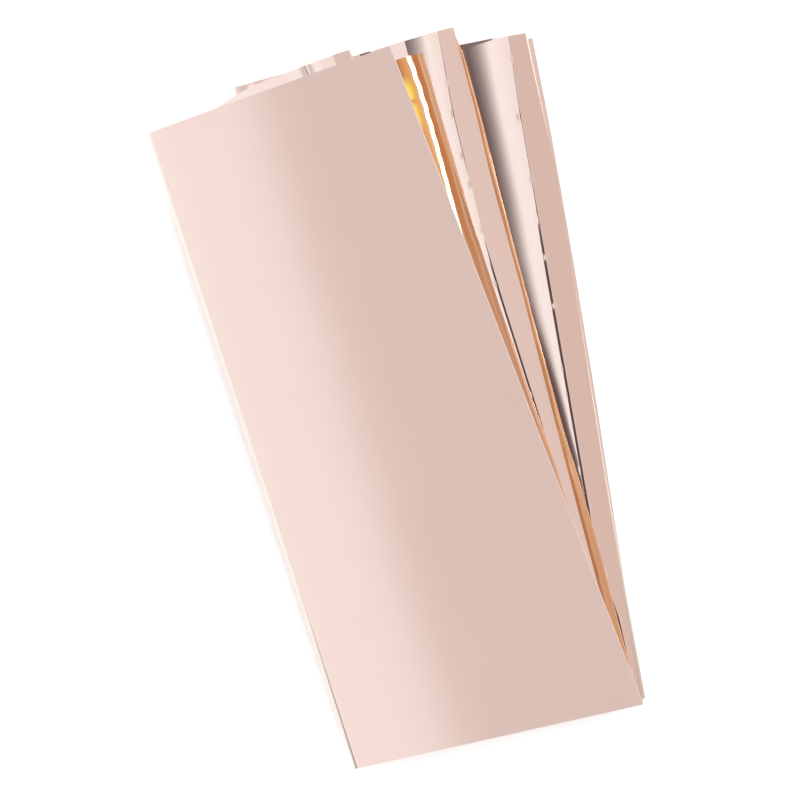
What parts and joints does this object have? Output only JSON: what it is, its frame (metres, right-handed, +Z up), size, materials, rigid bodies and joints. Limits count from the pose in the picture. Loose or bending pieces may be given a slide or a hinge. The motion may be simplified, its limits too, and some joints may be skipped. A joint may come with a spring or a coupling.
{
  "type": "folded copper foil sheet",
  "caption": "Thin bare copper foil sheet for stained glass work, folded zig-zag into long flat panels and fanned about one corner; every panel opens about its fold",
  "frame": {"origin": "centre of the footprint, on the table that the bottom panel lies on", "axes": "+Z up through the stack, +Y along the bottom panel's long edge towards the open end of the fan, +X to the side with the right folds"},
  "size_m": [0.1774, 0.3184, 0.0213],
  "materials": {
    "copper_foil": "bare copper foil, mirror bright, rolled"
  },
  "bodies": {
    "base_leaf": {"panel_10": "copper_foil"},
    "leaf_09": {"panel_09": "copper_foil", "fold_09_left": "copper_foil"},
    "leaf_08": {"panel_08": "copper_foil", "crease_band_08": "copper_foil", "fold_08_right": "copper_foil"},
    "leaf_07": {"panel_07": "copper_foil", "fold_07_left": "copper_foil"},
    "leaf_06": {"panel_06": "copper_foil", "crease_band_06": "copper_foil", "fold_06_right": "copper_foil"},
    "leaf_05": {"panel_05": "copper_foil", "fold_05_left": "copper_foil"},
    "leaf_04": {"panel_04": "copper_foil", "fold_04_right": "copper_foil"},
    "leaf_03": {"panel_03": "copper_foil", "fold_03_left": "copper_foil"},
    "leaf_02": {"panel_02": "copper_foil", "crease_band_02": "copper_foil", "fold_02_right": "copper_foil"},
    "leaf_01": {"panel_01": "copper_foil", "fold_01_left": "copper_foil"}
  },
  "joints": [
    {"name": "fold_09_open", "type": "hinge", "parent": "base_leaf", "child": "leaf_09", "pos_m": [-0.03442, -0.1542, 0.00084], "axis": [0.014, -0.9999, -0.0015], "range_deg": [0, 175], "deforming": ["fold_09_left"]},
    {"name": "fold_08_open", "type": "hinge", "parent": "leaf_09", "child": "leaf_08", "pos_m": [0.08548, -0.1507, 0.00167], "axis": [0, 1, 0.0044], "range_deg": [0, 60], "deforming": ["fold_08_right"]},
    {"name": "fold_07_open", "type": "hinge", "parent": "leaf_08", "child": "leaf_07", "pos_m": [-0.03542, -0.1552, 0.00323], "axis": [0.0227, -0.9997, -0.0075], "range_deg": [0, 130], "deforming": ["fold_07_left"]},
    {"name": "fold_06_open", "type": "hinge", "parent": "leaf_07", "child": "leaf_06", "pos_m": [0.07978, -0.1472, 0.00414], "axis": [-0.0872, 0.9961, 0.0106], "range_deg": [0, 65], "deforming": ["fold_06_right"]},
    {"name": "fold_05_open", "type": "hinge", "parent": "leaf_06", "child": "leaf_05", "pos_m": [-0.03692, -0.1562, 0.00561], "axis": [0.0337, -0.9993, -0.0134], "range_deg": [0, 130], "deforming": ["fold_05_left"]},
    {"name": "fold_04_open", "type": "hinge", "parent": "leaf_05", "child": "leaf_04", "pos_m": [0.07778, -0.1467, 0.00661], "axis": [-0.1443, 0.9893, 0.0203], "range_deg": [0, 60], "deforming": ["fold_04_right"]},
    {"name": "fold_03_open", "type": "hinge", "parent": "leaf_04", "child": "leaf_03", "pos_m": [-0.03892, -0.1572, 0.00794], "axis": [0.1218, -0.9922, -0.0269], "range_deg": [0, 130], "deforming": ["fold_03_left"]},
    {"name": "fold_02_open", "type": "hinge", "parent": "leaf_03", "child": "leaf_02", "pos_m": [0.07958, -0.1477, 0.00903], "axis": [-0.2418, 0.9699, 0.0296], "range_deg": [0, 15], "deforming": ["fold_02_right"]},
    {"name": "fold_01_open", "type": "hinge", "parent": "leaf_02", "child": "leaf_01", "pos_m": [-0.04332, -0.1591, 0.01026], "axis": [0.1495, -0.9882, -0.0327], "range_deg": [0, 175], "deforming": ["fold_01_left"]}
  ]
}
